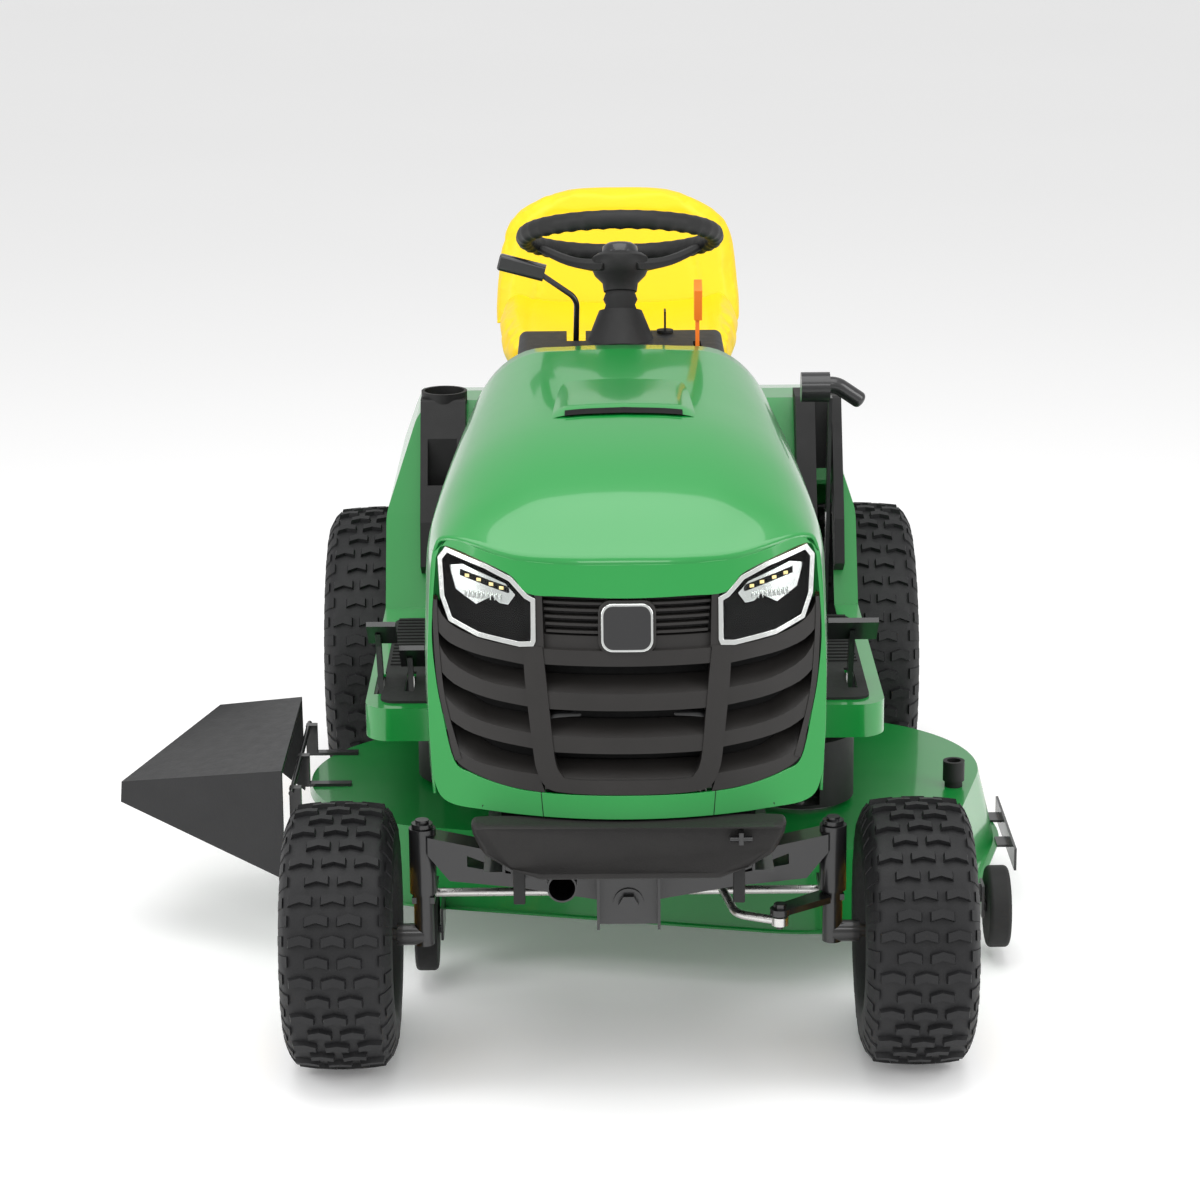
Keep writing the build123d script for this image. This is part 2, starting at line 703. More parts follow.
def make_engine_pulley():
    """The double pulley: the drive belt above, the mower belt below."""
    with BuildPart() as engine_pulley:
        with BuildSketch(forwards(CRANK_Y)):
            with BuildLine():
                Polyline(
                    (12.5, 248),
                    (50, 248),
                    (50, 249),
                    (40, 252),
                    (40, 266),
                    (50, 269),
                    (50, 270),
                    (24, 274),
                    (24, 296),
                    (50, 298),
                    (50, 300),
                    (40, 305),
                    (40, 313),
                    (50, 318),
                    (50, 320),
                    (12.5, 322),
                    close=True,
                )
            make_face()
        revolve(axis=Axis((0, CRANK_Y, 0), (0, 0, 1)))
    return engine_pulley


MOWER_PULLEYS = ((0.0, CRANK_Y, 41.5), (BLADE_X[0], BLADE_Y[0], 56.0), (BLADE_X[1], BLADE_Y[1], 56.0))


def belt_loop(plane, circles, thick, deep):
    """A closed belt round a list of pulleys: outer hull less inner hull."""
    with BuildPart() as belt:
        with BuildSketch(plane.offset(-thick / 2)) as outer:
            for x, y, radius in circles:
                with Locations((x, y)):
                    Circle(radius + deep)
            make_hull()
        extrude(amount=thick)
        with BuildSketch(plane.offset(-thick / 2)) as inner:
            for x, y, radius in circles:
                with Locations((x, y)):
                    Circle(radius)
            make_hull()
        extrude(amount=thick, mode=Mode.SUBTRACT)
    return belt


def make_drive_belt():
    return belt_loop(Plane.XY.offset(309), [(0, CRANK_Y, 41.0), (0, 0, 49.0)], 8, 7)


def make_muffler():
    with BuildPart() as muffler:
        with BuildSketch(forwards(-1282)):
            with Locations((0, 500)):
                RectangleRounded(250, 110, 34)
        extrude(amount=78)
        fillet(muffler.edges().filter_by(GeomType.LINE).group_by(Axis.Y)[0], 8)
        bent_tube(
            [(-91, -1345, 450), (-91, -1345, 316), (-91, -1404, 316)], 30, 41, 36,
        )
    return muffler


def make_muffler_shield():
    """The heat shield sheet between the front axle and the muffler."""
    with BuildPart() as muffler_shield:
        block((-160, -124), (-1412, -1409), (334, 372))
        block((-160, 150), (-1412, -1409), (344, 372))
        block((-160, 150), (-1409, RAIL_FRONT_Y), (366, 369))
        with Locations((-91, -1400, 316)):
            Cylinder(26, 60, rotation=(90, 0, 0), mode=Mode.SUBTRACT)
    return muffler_shield


def make_fuel_tank():
    with BuildPart() as fuel_tank:
        block((-150, 150), (-790, -662), (560, 790))
        fillet(fuel_tank.edges(), 24)
        with Locations((-60, -726, 796)):
            Cylinder(24, 26)
    return fuel_tank


def make_fuel_cap():
    with BuildPart() as fuel_cap:
        with Locations((-60, -726, 809 + 13)):
            Cylinder(36, 26)
        with Locations((-60, -726, 822)):
            with PolarLocations(36, 16):
                Cylinder(3, 30, mode=Mode.SUBTRACT)
    return fuel_cap


def make_battery():
    with BuildPart() as battery:
        block((-92, 92), (-206, -92), (RAIL_HIGH, 590))
        for x in (-66, 66):
            with Locations((x, -130, 597)):
                Cylinder(8, 14)
    return battery


def make_transaxle():
    """The sealed gear case, its axle tubes and mounting feet."""
    z = REAR_HUB[2]
    with BuildPart() as transaxle:
        block((-95, 95), (-95, 95), (190, 288))
        fillet(transaxle.edges().filter_by(Axis.Z), 30)
        with Locations(Location((0, 0, z), (0, 90, 0))):
            Cylinder(34, 560)
            Cylinder(AXLE_SHAFT_D / 2 + RUNNING, 700, mode=Mode.SUBTRACT)
        for side in (-1, 1):
            foot = sorted((side * (RAIL_X - 2), side * (RAIL_X + RAIL_FLANGE - 2)))
            block(foot, (-40, 40), (280, RAIL_LOW))
        with Locations((0, 0, 290)):
            Cylinder(7.5 + RUNNING, 60, mode=Mode.SUBTRACT)
    return transaxle


def make_transaxle_pulley():
    with BuildPart() as transaxle_pulley:
        with BuildSketch(forwards(0)):
            with BuildLine():
                Polyline(
                    (0, 270), (7.5, 270), (7.5, 289), (58, 297), (58, 300), (48, 305), (48, 313), (58, 318),
                    (58, 321), (14, 321), (14, 326), (0, 326), close=True,
                )
            make_face()
        revolve(axis=Axis((0, 0, 0), (0, 0, 1)))
        # cooling fan slots
        with Locations((0, 0, 305)):
            with PolarLocations(30, 6):
                Cylinder(6, 60, mode=Mode.SUBTRACT)
    return transaxle_pulley


def make_axle_shaft(side):
    """A rear axle shaft, which turns with its wheel."""
    z = REAR_HUB[2]
    with BuildPart() as axle_shaft:
        rod((side * 2, 0, z), (side * (REAR_HALF_TRACK + 66), 0, z), AXLE_SHAFT_D)
        rod((side * (REAR_HALF_TRACK + 58), 0, z), (side * (REAR_HALF_TRACK + 62), 0, z), AXLE_SHAFT_D + 14)
    return axle_shaft


# ---------------------------------------------------------------- hood
HOOD_STATIONS = (
    # y, then (half width, height) of the side's top, shoulder, cheek and top edge, and the crown's height
    (HOOD_REAR_Y, (258, 650), (246, 762), (206, 858), (150, 908), 915),
    (-1000.0, (283, 620), (274, 745), (226, 832), (140, 878), 887),
    (-1300.0, (284, 620), (274, 738), (226, 772), (130, 792), 800),
    (HOOD_FRONT_Y, (276, 600), (262, 676), (214, 704), (120, 716), 721),
)


def hood_section(station, inset, drop):
    """The +X half of one cross-section: an upright side under a crowned top."""
    y, side, shoulder, cheek, edge, crown = station
    wall = side[0] - inset
    bottom = HOOD_BOTTOM - drop
    upper = [(x - inset, z - inset) for x, z in (shoulder, cheek, edge)]
    with BuildSketch(forwards(y)) as section:
        with BuildLine():
            Line((0, bottom), (wall, bottom))
            Line((wall, bottom), (wall, side[1]))
            Spline((wall, side[1]), *upper, (0, crown - inset), tangents=((0, 1), (-1, 0)))
            Line((0, crown - inset), (0, bottom))
        make_face()
    return section.sketch


def behind_face(depth):
    """All that lies more than a depth behind the bowed and leaning front face."""
    lean = Vector(0, FACE_LEAN, 1).normalized()
    middle = Vector(0, FACE_Y, HOOD_BOTTOM) + Vector(0, lean.Z, -lean.Y) * FACE_BOW - lean * 200
    with BuildPart() as backing:
        with BuildSketch(Plane(origin=middle, x_dir=(1, 0, 0), z_dir=lean)):
            Circle(FACE_BOW - depth)
            with Locations((0, FACE_BOW)):
                Rectangle(2 * (FACE_BOW - depth), 2 * FACE_BOW)
        extrude(amount=900)
    return backing.part


def hood_solid(inset, drop, overrun):
    """The +X half of the lofted hood volume, cut to the bowed and leaning front face."""
    with BuildPart() as solid:
        for index, station in enumerate(HOOD_STATIONS):
            y = station[0]
            if index == 0:
                y += overrun
            add(hood_section((y, *station[1:]), inset, drop))
        loft()
        add(behind_face(inset), mode=Mode.INTERSECT)
    return solid.part


def face_opening(grow):
    """The outline of the grille and headlights, seen from ahead."""
    right = [(118, 720), (176, 745), (252, 772), (256, 700), (250, 560), (226, 505), (150, 472)]
    with BuildSketch(forwards(-1600)) as opening:
        with BuildLine():
            Polyline((-118, 720), *right, (-150, 472), (-226, 505), (-250, 560), (-256, 700), (-252, 772),
                     (-176, 745), close=True)
        make_face()
        if grow:
            offset(amount=grow)
    return opening.sketch


def make_hood():
    with BuildPart() as hood:
        add(hood_solid(0, 0, 0))
        add(hood_solid(HOOD_SHEET, 60, 20), mode=Mode.SUBTRACT)
        extrude(face_opening(GAP), amount=-500, mode=Mode.SUBTRACT)
        block((-98, 98), (-1000, -960), (860, 900), mode=Mode.SUBTRACT)
        mirror(about=Plane.YZ)
    return hood


LAMP_OUTLINE = ((124, 716), (178, 742), (249, 766), (246, 708), (200, 672), (124, 652))


def lamp_sketch(grow):
    """The outline of the +X headlight, seen from ahead."""
    with BuildSketch(forwards(-1600)) as lamp:
        with BuildLine():
            Polyline(*LAMP_OUTLINE, close=True)
        make_face()
        if grow:
            offset(amount=grow)
    return lamp.sketch


def make_grille():
    """The moulded grille: three middle slots, three side slots each way and fine louvres."""
    with BuildPart() as grille:
        add(hood_solid(1.0, 0, 0))
        add(behind_face(19), mode=Mode.SUBTRACT)
        extrude(face_opening(0), amount=-330, mode=Mode.INTERSECT)
        for low in (585, 535, 489):
            block((-88, 88), (-1600, -1300), (low, low + 30), mode=Mode.SUBTRACT)
            block((146, 232), (-1600, -1250), (low + 12, low + 40), mode=Mode.SUBTRACT)
        extrude(lamp_sketch(GAP), amount=-500, mode=Mode.SUBTRACT)
        # the socket that holds the hood's hinge arm
        block((HOOD_ARM_X - 3, HOOD_ARM_X + 3), (-1397.5, -1300), (400, 476), mode=Mode.SUBTRACT)
        mirror(about=Plane.YZ)
    return grille


def lamp_layer(side, front, back):
    """A layer of one headlight, between two depths behind the front face."""
    with BuildPart() as layer:
        add(hood_solid(front, 0, 0))
        add(behind_face(back), mode=Mode.SUBTRACT)
        extrude(lamp_sketch(0), amount=-420, mode=Mode.INTERSECT)
        if side < 0:
            mirror(about=Plane.YZ, mode=Mode.REPLACE)
    return layer


def make_headlight(side):
    """A headlight housing that fills its corner of the grille."""
    return lamp_layer(side, 6.0, 46.0)


def make_headlight_lens(side):
    return lamp_layer(side, 1.0, 5.5)


def make_hood_badge():
    lean = degrees(atan2(FACE_LEAN, 1))
    with BuildPart() as hood_badge:
        place = Plane(origin=(0, FACE_Y + 0.9 + (678 - HOOD_BOTTOM) * FACE_LEAN, 678), x_dir=(1, 0, 0),
                      z_dir=(0, -cos(radians(lean)), sin(radians(lean))))
        with BuildSketch(place):
            RectangleRounded(66, 64, 16)
        extrude(amount=6)
        fillet(hood_badge.edges().sort_by(Axis.Y)[:1], 1.5)
    return hood_badge


def make_hood_hinge():
    """Two arms from the hood's lower front edge to the pivot in the bumper."""
    with BuildPart() as hood_hinge:
        for side in (-1, 1):
            x = side * HOOD_ARM_X
            with BuildSketch(across(x - 3)):
                with BuildLine():
                    Polyline(
                        (HOOD_PIVOT_Y - 7, HOOD_PIVOT_Z - 7),
                        (-1387, HOOD_PIVOT_Z - 7),
                        (-1387, 425),
                        (-1376, 475),
                        (-1386.5, 475),
                        (-1397, 434),
                        (-1397, HOOD_PIVOT_Z + 10),
                        (HOOD_PIVOT_Y - 7, HOOD_PIVOT_Z + 10),
                        close=True,
                    )
                make_face()
            extrude(amount=6)
            with Locations(Location((x, HOOD_PIVOT_Y, HOOD_PIVOT_Z), (0, 90, 0))):
                Cylinder(4, 30)
    return hood_hinge


# ---------------------------------------------------------------- body panels
def fender_solid(inset):
    """The fender volume: one side profile cut to a rounded front profile, with the seat's saddle on it."""
    half = FENDER_X - inset
    top = FENDER_TOP - inset
    outline = [
        (FOOT_FRONT_Y + inset, 300.0),
        (FOOT_FRONT_Y + inset, FOOT_Z - inset),
        (-343.0 + inset * 0.7, FOOT_Z - inset),
        (-266.0 + inset * 0.8, 560.0 - inset * 0.4),
        (-168.0 + inset * 0.5, top),
        (-90.0, top),
        (60.0, top - 26),
        (200.0 - inset * 0.5, top - 84),
        (FENDER_REAR_Y - inset, top - 190),
        (FENDER_REAR_Y - inset, 300.0),
    ]
    with BuildPart() as solid:
        with BuildSketch(across(-half)):
            with BuildLine():
                Polyline(*outline, close=True)
            make_face()
        extrude(amount=2 * half)
        corners = solid.edges().filter_by(Axis.Z).group_by(Axis.Y)[0]
        fillet(corners, 40 - inset)
        # the walls lean in over the wheels and round over to the top
        with BuildSketch(forwards(-1000)) as front:
            with BuildLine():
                Polyline(
                    (-half, 300), (-half, 560), (-half + FENDER_LEAN_IN, top), (half - FENDER_LEAN_IN, top),
                    (half, 560), (half, 300), close=True,
                )
            make_face()
            fillet(front.vertices().group_by(Axis.Y)[-1], 52 - inset)
            fillet(front.vertices().filter_by(lambda point: abs(point.Y - 560) < 1), 90)
        extrude(amount=-1500, mode=Mode.INTERSECT)
        # the flat saddle that carries the seat
        block((-SADDLE_X + inset, SADDLE_X - inset), (-166 + inset, 168 - inset), (560, top))
    return solid.part


PEDAL_SLOTS = ((345.0, 14.0), (-372.0, 14.0), (-326.0, 14.0))


def make_fender_deck():
    with BuildPart() as fender_deck:
        add(fender_solid(0))
        add(fender_solid(FENDER_SHEET), mode=Mode.SUBTRACT)
        block((-500, 500), (-1000, 400), (290, 368), mode=Mode.SUBTRACT)
        block((-TUNNEL_X, TUNNEL_X), (-1000, -330), (300, 600), mode=Mode.SUBTRACT)
        block((-RAIL_X - 28, RAIL_X + 28), (-400, 400), (300, RAIL_HIGH + 1), mode=Mode.SUBTRACT)
        with Locations(Location((0, 0, REAR_HUB[2]), (0, 90, 0))):
            Cylinder(REAR_TYRE_D / 2 + 20, 1200, mode=Mode.SUBTRACT)
        block((-500, 500), (-60, 400), (290, 420), mode=Mode.SUBTRACT)
        for x, wide in PEDAL_SLOTS:
            block((x - wide / 2, x + wide / 2), (-830, -725), (400, 430), mode=Mode.SUBTRACT)
        block((322, 350), (-430, -240), (350, 640), mode=Mode.SUBTRACT)
    return fender_deck


def make_foot_mat(side):
    """A ribbed rubber mat on the footrest."""
    inner = TUNNEL_X + 10
    outer = FENDER_X - 22
    middle = side * (inner + outer) / 2
    with BuildPart() as foot_mat:
        half = (outer - inner) / 2
        block((middle - half, middle + half), (-880, -420), (FOOT_Z, FOOT_Z + 4))
        fillet(foot_mat.edges().filter_by(Axis.Z), 24)
        ribs = 15
        for index in range(ribs):
            y = -690 + index * 18
            block((middle - 84, middle + 84), (y, y + 8), (FOOT_Z + 3.5, FOOT_Z + 6.5))
        for x, wide in PEDAL_SLOTS:
            if x * side > 0:
                block((x - wide / 2, x + wide / 2), (-830, -725), (400, 440), mode=Mode.SUBTRACT)
    return foot_mat


def console_strip(side, inner_x, outer_x, rise):
    """A raised tray that lies along the front slope of the fender."""
    start, end = sorted((side * inner_x, side * outer_x))
    with BuildPart() as console:
        with BuildSketch(across(start)):
            with BuildLine():
                Polyline(
                    (-316.0, 470.0),
                    (-266.0, 560.0),
                    (-168.0, FENDER_TOP),
                    (-150.0, FENDER_TOP),
                    (-150.0, FENDER_TOP + rise),
                    (-230.0, FENDER_TOP + rise),
                    (-330.0, 560.0),
                    (-350.0, 490.0),
                    close=True,
                )
            make_face()
        extrude(amount=end - start)
        fillet(console.edges().filter_by(Axis.X).group_by(Axis.Z)[-1], 6)
    return console


def make_right_console():
    console = console_strip(-1, 256, 330, 14)
    with console:
        with Locations((-292, -196, 742)):
            Cylinder(38, 22)
        with Locations((-292, -196, 742)):
            Cylinder(33, 60, mode=Mode.SUBTRACT)
        block((-318, -270), (-300, -262), (590, 700), mode=Mode.SUBTRACT)
    return console


def make_left_console():
    console = console_strip(1, 290, 366, 14)
    with console:
        block((322, 350), (-430, -230), (350, 760), mode=Mode.SUBTRACT)
    return console


def make_dash_panel():
    """The pedestal behind the hood, with its shelf and the steering column's collar."""
    with BuildPart() as dash_panel:
        with BuildSketch(Plane.XY.offset(RAIL_HIGH + 1)):
            with Locations((0, -520)):
                Rectangle(2 * TUNNEL_X - 8, 230)
        with BuildSketch(Plane.XY.offset(900)):
            with Locations((0, -535)):
                Rectangle(320, 200)
        loft()
        fillet(dash_panel.edges().group_by(Axis.Z)[-1], 16)
        with BuildSketch(Plane.XY.offset(RAIL_HIGH + 1)):
            with Locations((0, -520)):
                Rectangle(2 * TUNNEL_X - 16, 222)
        with BuildSketch(Plane.XY.offset(894)):
            with Locations((0, -535)):
                Rectangle(312, 192)
        loft(mode=Mode.SUBTRACT)
        # collar round the steering column, square to it
        with BuildSketch(column.offset(COLUMN_LENGTH - 178)):
            Circle(58)
        with BuildSketch(column.offset(COLUMN_LENGTH - 118)):
            Circle(34)
        loft()
        with BuildSketch(column.offset(60)):
            Circle(STEER_SHAFT_D / 2 + RUNNING + 4)
        extrude(amount=COLUMN_LENGTH - 60, mode=Mode.SUBTRACT)
        # slots for the throttle, the choke and the blade lever
        block((112, 124), (-600, -540), (880, 930), mode=Mode.SUBTRACT)
        block((-85, -55), (-530, -420), (700, 920), mode=Mode.SUBTRACT)
        with Locations((70, -470, 900)):
            Cylinder(4 + RUNNING, 40, mode=Mode.SUBTRACT)
        # tunnel between the pedestal and the seat
        block((-TUNNEL_X + 2, TUNNEL_X - 2), (-406, -346), (RAIL_HIGH + 1, RAIL_HIGH + 5))
    return dash_panel


# ---------------------------------------------------------------- seat
def make_seat_bracket():
    """The slide plate on the saddle with the two hinge ears."""
    with BuildPart() as seat_bracket:
        block((-120, 120), (-190, 140), (FENDER_TOP + 2, FENDER_TOP + 6))
        for side in (-1, 1):
            ear = sorted((side * 116, side * 120))
            block(ear, (SEAT_PIVOT_Y - 12, SEAT_PIVOT_Y + 40), (FENDER_TOP + 2, SEAT_PIVOT_Z + 10))
        with Locations(Location((0, SEAT_PIVOT_Y, SEAT_PIVOT_Z), (0, 90, 0))):
            Cylinder(4, 260)
    return seat_bracket


def make_seat_pan():
    with BuildPart() as seat_pan:
        block((-150, 150), (-170, 150), (768, 772))
        for side in (-1, 1):
            strap = sorted((side * 108, side * 113))
            with BuildSketch(across(strap[0])):
                with BuildLine():
                    Polyline((SEAT_PIVOT_Y - 9, SEAT_PIVOT_Z - 9), (SEAT_PIVOT_Y + 9, SEAT_PIVOT_Z - 9),
                             (-130, 768), (-165, 770), (SEAT_PIVOT_Y - 9, SEAT_PIVOT_Z + 9), close=True)
                make_face()
            extrude(amount=5)
        with Locations(Location((0, SEAT_PIVOT_Y, SEAT_PIVOT_Z), (0, 90, 0))):
            Cylinder(4 + RUNNING, 300, mode=Mode.SUBTRACT)
        # coil springs' cups
        for side in (-1, 1):
            with Locations((side * 80, 110, 766 - 4)):
                Cylinder(22, 12)
    return seat_pan


def make_seat_cushion():
    with BuildPart() as seat_cushion:
        block((-SEAT_HALF_W, SEAT_HALF_W), (-185, 200), (772, 838))
        fillet(seat_cushion.edges().filter_by(Axis.Z), 60)
        fillet(seat_cushion.edges().group_by(Axis.Z)[-1], 24)
    return seat_cushion


def make_seat_backrest():
    with BuildPart() as seat_backrest:
        with BuildSketch(Plane(origin=(0, 110, 838.5), x_dir=(1, 0, 0), z_dir=(0, 0, 1))):
            with Locations((0, 40)):
                RectangleRounded(2 * SEAT_HALF_W - 20, 78, 30)
        with BuildSketch(Plane(origin=(0, 110, 960), x_dir=(1, 0, 0), z_dir=(0, 0, 1))):
            with Locations((0, 66)):
                RectangleRounded(2 * SEAT_HALF_W - 50, 70, 28)
        with BuildSketch(Plane(origin=(0, 110, SEAT_TOP), x_dir=(1, 0, 0), z_dir=(0, 0, 1))):
            with Locations((0, 84)):
                RectangleRounded(300, 50, 22)
        loft()
        fillet(seat_backrest.edges().group_by(Axis.Z)[-1], 16)
    return seat_backrest


# ---------------------------------------------------------------- controls
def make_pedal(x, pad_x, pad_y, pad_z, wide):
    """A pedal: a hub under the footrest, a bent arm and a pad."""
    with BuildPart() as pedal:
        with Locations(Location((x, PEDAL_Y, PEDAL_Z), (0, 90, 0))):
            Cylinder(15, 12)
        with BuildSketch(across(x - 4)):
            with BuildLine():
                Polyline(
                    (PEDAL_Y, PEDAL_Z - 14), (PEDAL_Y, PEDAL_Z + 8), (-735, 402),
                    (pad_y + 6, pad_z), (pad_y - 14, pad_z), (-752, 384),
                    close=True,
                )
            make_face()
        extrude(amount=8)
        with Locations(Location((pad_x, pad_y - 4, pad_z), (-40, 0, 0))):
            Box(wide, 62, 8)
            with GridLocations(0, 14, 1, 4):
                with Locations((0, 0, 5)):
                    Box(wide - 8, 5, 3)
        with Locations(Location((x, PEDAL_Y, PEDAL_Z), (0, 90, 0))):
            Cylinder(8 + RUNNING, 30, mode=Mode.SUBTRACT)
    return pedal


def make_pedal_shaft():
    with BuildPart() as pedal_shaft:
        with Locations(Location((0, PEDAL_Y, PEDAL_Z), (0, 90, 0))):
            Cylinder(8, 2 * FENDER_X - 12)
    return pedal_shaft


def make_lift_lever():
    """The lift shaft with its two arms, and the long hand lever."""
    with BuildPart() as lift_lever:
        rod((-RAIL_X - 12, LIFT_Y, LIFT_Z), (345, LIFT_Y, LIFT_Z), 22)
        for side in (-1, 1):
            arm = sorted((side * (HANGER_X - 12), side * (HANGER_X - 6)))
            with BuildSketch(across(arm[0], LIFT_Y, LIFT_Z)):
                with Locations(Location((-LIFT_ARM / 2, 0), 0)):
                    SlotCenterToCenter(LIFT_ARM, 28)
            extrude(amount=6)
            pin = sorted((side * (HANGER_X - 12), side * (HANGER_X + 12)))
            rod((pin[0], LIFT_Y - LIFT_ARM, LIFT_Z), (pin[1], LIFT_Y - LIFT_ARM, LIFT_Z), 10)
        with BuildSketch(across(333)):
            with BuildLine():
                Polyline(
                    (LIFT_Y - 16, LIFT_Z - 12), (LIFT_Y + 16, LIFT_Z - 12), (LIFT_Y + 12, LIFT_Z + 40),
                    (-388, 780), (-412, 780), (LIFT_Y - 14, LIFT_Z + 40), close=True,
                )
            make_face()
        extrude(amount=6)
    return lift_lever


def make_lift_handle():
    """The round-faced grip that sweeps outwards from the lever's top."""
    with BuildPart() as lift_handle:
        with Locations(Location((312, -400, 796), (0, 90, 0))):
            Cylinder(24, 46)
        bent_tube([(300, -400, 796), (345, -400, 800), (388, -396, 770)], 30, 27)
        fillet(lift_handle.edges().sort_by(Axis.X)[-1:], 8)
    return lift_handle


def make_pto_lever():
    """The flat rod that engages the blades, with its moulded yellow handle."""
    with BuildPart() as pto_lever:
        with Locations(Location((-70, -470, 760), (0, 90, 0))):
            Cylinder(14, 14)
        bent_tube([(-70, -470, 760), (-70, -484, 890), (-68, -506, 962), (-132, -502, 1006)], 24, 9)
    return pto_lever


def make_pto_handle():
    start = (-118, -502, 1002)
    way = (-72, 2, 19)
    with BuildPart() as pto_handle:
        with BuildSketch(Plane(origin=start, z_dir=way, x_dir=(0, 1, 0))):
            RectangleRounded(20, 26, 6)
        extrude(amount=PTO_GRIP)
        fillet(pto_handle.faces().sort_by(Axis.X)[0].edges(), 4)
        with BuildSketch(Plane(origin=start, z_dir=way, x_dir=(0, 1, 0))):
            Circle(PTO_ROD_D / 2)
        extrude(amount=14, mode=Mode.SUBTRACT)
    return pto_handle


def make_throttle_lever():
    with BuildPart() as throttle_lever:
        with Locations(Location((118, -570, 850), (0, 90, 0))):
            Cylinder(12, 8)
        block((115, 121), (-576, -564), (850, 950))
        with BuildSketch(across(113)):
            with BuildLine():
                Polyline((-580, 940), (-560, 940), (-552, 992), (-566, 1002), (-592, 988), close=True)
            make_face()
        extrude(amount=12)
        fillet(throttle_lever.edges().filter_by(Axis.X).group_by(Axis.Z)[-1], 4)
    return throttle_lever


def make_ignition_key():
    with BuildPart() as ignition_key:
        with Locations((70, -470, 901 + 2)):
            Cylinder(13, 4)
        block((68.5, 71.5), (-484, -456), (905, 936))
        with Locations((70, -470, 890)):
            Cylinder(4, 22)
    return ignition_key


# ---------------------------------------------------------------- mower deck
def deck_outline(plane, grow, bulge=0.0):
    """The deck's plan: two blade circles and what joins them, seen from above."""
    with BuildSketch(plane) as outline:
        for x, y in zip(BLADE_X, BLADE_Y):
            with Locations((x, y)):
                Circle(BLADE_R + BLADE_ROOM + grow)
        with Locations((120, -840)):
            Circle(100 + grow + bulge)
        with Locations((BLADE_X[0] + 40, BLADE_Y[0] + 160)):
            Circle(BLADE_R + BLADE_ROOM + grow)
        make_hull()
    return outline.sketch


def make_deck_shell():
    with BuildPart() as deck_shell:
        add(deck_outline(Plane.XY.offset(DECK_LOW), DECK_SHEET + 6))
        add(deck_outline(Plane.XY.offset(DECK_TOP), DECK_SHEET - 22))
        loft(ruled=True)
        add(deck_outline(Plane.XY.offset(DECK_LOW - 1), 6))
        add(deck_outline(Plane.XY.offset(DECK_TOP - DECK_SHEET), -22))
        loft(ruled=True, mode=Mode.SUBTRACT)
        # turned lip along the lower edge
        extrude(deck_outline(Plane.XY.offset(DECK_LOW), DECK_SHEET + DECK_LIP), amount=DECK_SHEET)
        extrude(deck_outline(Plane.XY.offset(DECK_LOW - 1), 6), amount=DECK_SHEET + 2, mode=Mode.SUBTRACT)
        # the discharge opening on the -X side
        block((-700, -440), (-760, -430), (DECK_LOW - 5, DECK_TOP - 14), mode=Mode.SUBTRACT)
        for x, y in zip(BLADE_X, BLADE_Y):
            with Locations((x, y, DECK_TOP)):
                Cylinder(30, 20, mode=Mode.SUBTRACT)
    return deck_shell


def make_mandrel_housing(index):
    x, y = BLADE_X[index], BLADE_Y[index]
    with BuildPart() as mandrel_housing:
        with Locations((x, y, DECK_TOP + 3)):
            Cylinder(62, 6)
        with Locations((x, y, DECK_TOP - 12)):
            Cylinder(29, 54)
            Cylinder(10 + RUNNING, 80, mode=Mode.SUBTRACT)
        with Locations((x, y, DECK_TOP + 8)):
            with PolarLocations(48, 4):
                Cylinder(6, 6)
    return mandrel_housing


def make_blade(index):
    """A mandrel shaft, its belt pulley and the lifted-wing blade."""
    x, y = BLADE_X[index], BLADE_Y[index]
    with BuildPart() as blade:
        rod((x, y, 120), (x, y, 262), 20)
        with BuildSketch(forwards(y)):
            with BuildLine():
                Polyline(
                    (x + 10, 226), (x + 64, 226), (x + 64, 227), (x + 54, 231), (x + 54, 251), (x + 64, 255),
                    (x + 64, 256), (x + 10, 256), close=True,
                )
            make_face()
        revolve(axis=Axis((x, y, 0), (0, 0, 1)))
        block((x - BLADE_R + 4, x + BLADE_R - 4), (y - 30, y + 30), (124, 128))
        for side in (-1, 1):
            wing = sorted((side * (BLADE_R - 90), side * (BLADE_R - 6)))
            with BuildSketch(across(x + wing[0], y, 0)):
                with BuildLine():
                    Polyline(
                        (side * 30, 124), (side * 40, 140), (side * 37, 141), (side * 26, 128), close=True,
                    )
                make_face()
            extrude(amount=wing[1] - wing[0])
        with Locations((x, y, 120)):
            Cylinder(24, 8)
        with BuildSketch(Plane(origin=(x, y, 108), z_dir=(0, 0, 1))):
            RegularPolygon(16, 6)
        extrude(amount=9)
    return blade


def make_mower_belt():
    """The V-belt from the engine's lower pulley to both blade pulleys."""
    low = MOWER_BELT_Z
    slope = (259 - low) / (CRANK_Y - (BLADE_Y[0] + BLADE_Y[1]) / 2)
    middle_y = (BLADE_Y[0] + BLADE_Y[1]) / 2
    plane = Plane(origin=(0, middle_y, low), x_dir=(1, 0, 0), z_dir=(0, -slope, 1))
    circles = [(x, y - middle_y, radius) for x, y, radius in MOWER_PULLEYS]
    return belt_loop(plane, circles, MOWER_BELT_THICK, 7)


def belt_sketch(plane, grow):
    """The area inside the mower belt's outer edge, grown by a clearance."""
    with BuildSketch(plane) as area:
        for x, y, radius in MOWER_PULLEYS:
            with Locations((x, y)):
                Circle(radius + grow)
        make_hull()
    return area.sketch


